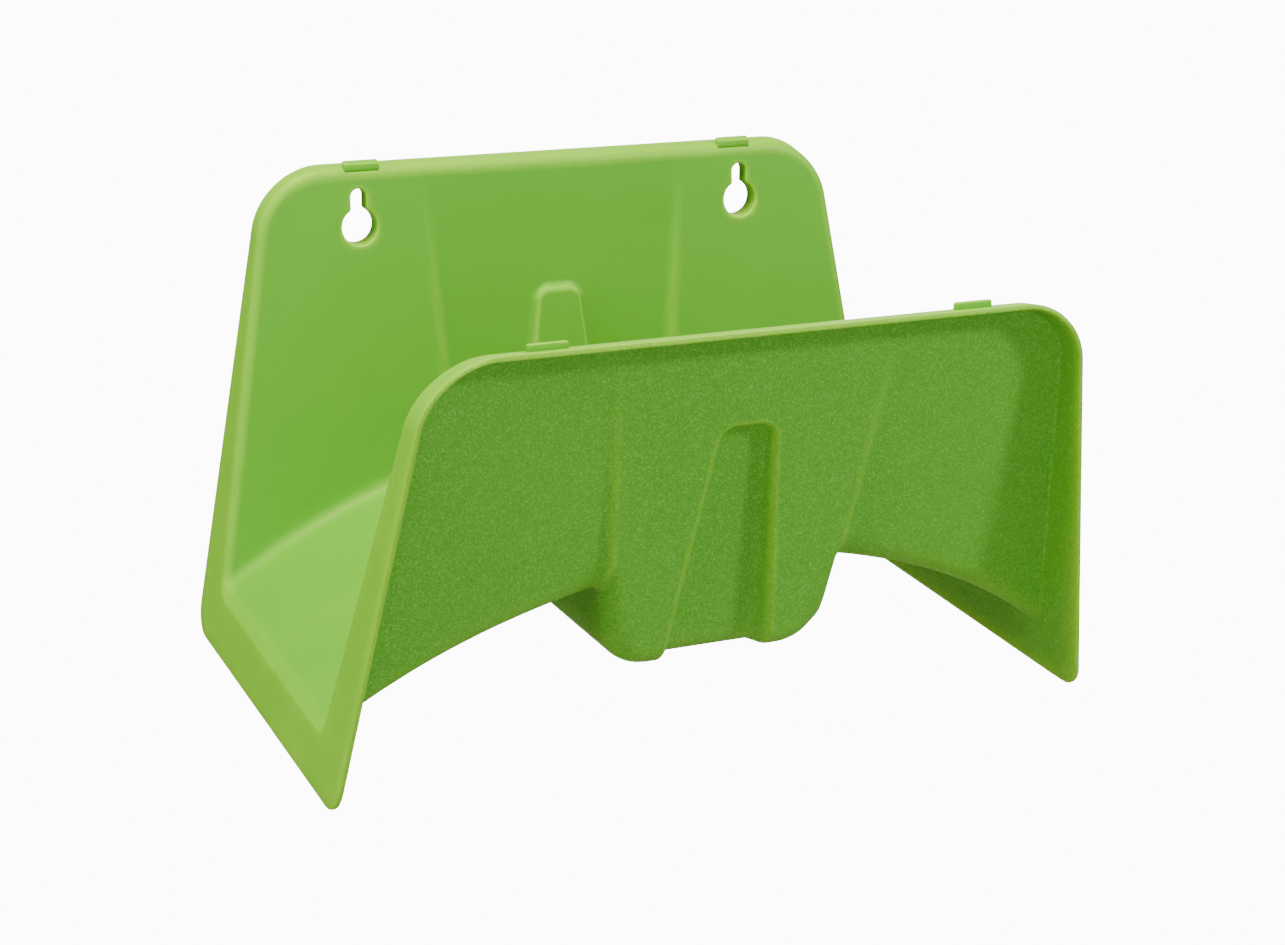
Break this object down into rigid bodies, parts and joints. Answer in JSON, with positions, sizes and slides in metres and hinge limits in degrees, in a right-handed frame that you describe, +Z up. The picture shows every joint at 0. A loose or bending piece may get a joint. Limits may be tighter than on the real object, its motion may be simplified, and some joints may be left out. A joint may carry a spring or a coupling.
{
  "type": "garden hose hanger",
  "caption": "One-piece plastic wall hanger with an arched saddle between two upright plates, on which a garden hose is coiled and hung.",
  "frame": {"origin": "on the wall, midway between the round openings of the two keyholes", "axes": "+X across the hanger, to the right as one faces the wall; -Y out from the wall; +Z up"},
  "size_m": [0.2317, 0.1551, 0.1468],
  "materials": {
    "moulding": "satin green polypropylene, fine spark-eroded grain on the outer faces"
  },
  "bodies": {
    "root": {"hose_hanger": "moulding"}
  },
  "joints": []
}
